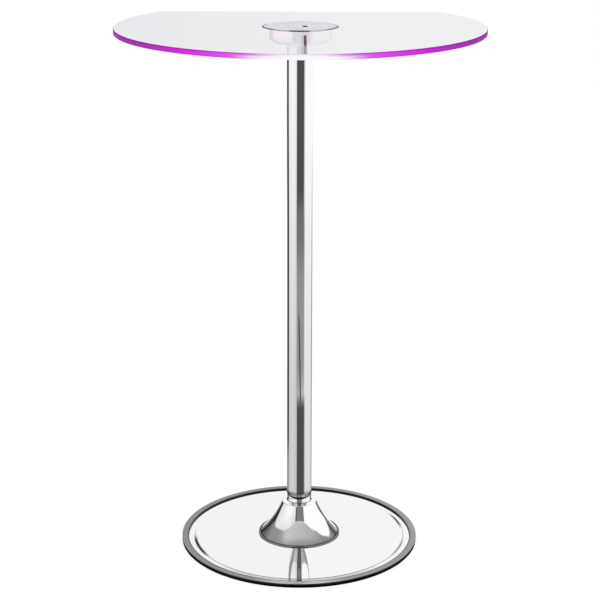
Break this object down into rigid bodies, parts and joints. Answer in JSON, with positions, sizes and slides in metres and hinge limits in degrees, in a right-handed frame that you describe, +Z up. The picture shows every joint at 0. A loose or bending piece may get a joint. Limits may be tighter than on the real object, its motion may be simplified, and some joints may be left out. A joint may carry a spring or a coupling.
{
  "type": "light up pedestal table",
  "caption": "Bar-height pedestal table: round clear glass top with one straight edge and a lit rim, light unit below its middle, chrome column, trumpet foot cover and round weighted base.",
  "frame": {"origin": "on the floor, on the column's axis", "axes": "+Z up along the column; +Y to the back, where the glass has its straight edge; +X to the right as seen from the front"},
  "size_m": [0.698, 0.5875, 1.04],
  "materials": {
    "clear_glass": "laminated clear glass, polished, edges lit magenta",
    "bright_plate": "polished plate",
    "board_white": "white solder mask",
    "led_lens": "clear LED lens, lit",
    "plain_steel": "turned steel",
    "screw_steel": "zinc-plated screws",
    "polished_chrome": "mirror-polished chrome",
    "mirror_chrome": "mirror-polished disc",
    "satin_steel": "satin",
    "board_green": "green solder mask",
    "chip_black": "moulded black",
    "receiver_window": "dark infrared window",
    "tray_plastic": "fine-grained moulding",
    "cell_can": "plain cell sleeve",
    "contact_nickel": "nickel plate",
    "spring_steel": "spring steel",
    "lead_jacket": "soft lead jacket",
    "button_plastic": "gloss button",
    "ballast_iron": "as cast, painted",
    "pad_rubber": "fine texture"
  },
  "bodies": {
    "table": {"upper_glass": "clear_glass", "lower_glass": "clear_glass", "top_plate": "bright_plate", "led_board": "board_white", "led_chips": "led_lens", "plate_hub": "plain_steel", "column_flange": "plain_steel", "flange_screws": "screw_steel", "column_tube": "polished_chrome", "control_board": "board_green", "control_chips": "chip_black", "infrared_receiver": "receiver_window", "battery_tray": "tray_plastic", "battery_cells": "cell_can", "battery_contacts": "contact_nickel", "tray_pillars": "plain_steel", "tray_screws": "screw_steel", "cup_clips": "spring_steel", "supply_lead": "lead_jacket", "led_lead": "lead_jacket", "button_switch": "chip_black", "column_foot": "polished_chrome", "foot_bolts": "screw_steel", "base_shell": "mirror_chrome", "rim_ring": "satin_steel", "base_weight": "ballast_iron", "floor_pad": "pad_rubber"},
    "cup": {"light_cup": "polished_chrome"},
    "button": {"power_button": "button_plastic"},
    "cover": {"cone_cover": "polished_chrome"}
  },
  "joints": [
    {"name": "cup_slide", "type": "slide", "parent": "table", "child": "cup", "axis": [0, 0, -1], "range_m": [0, 0.45]},
    {"name": "button_press", "type": "slide", "parent": "cup", "child": "button", "axis": [0, 0, 1], "range_m": [0, 0.0008], "stiffness_N_per_m": 500, "springref_m": -0.001},
    {"name": "cover_lift", "type": "slide", "parent": "table", "child": "cover", "axis": [0, 0, 1], "range_m": [0, 0.45]}
  ]
}
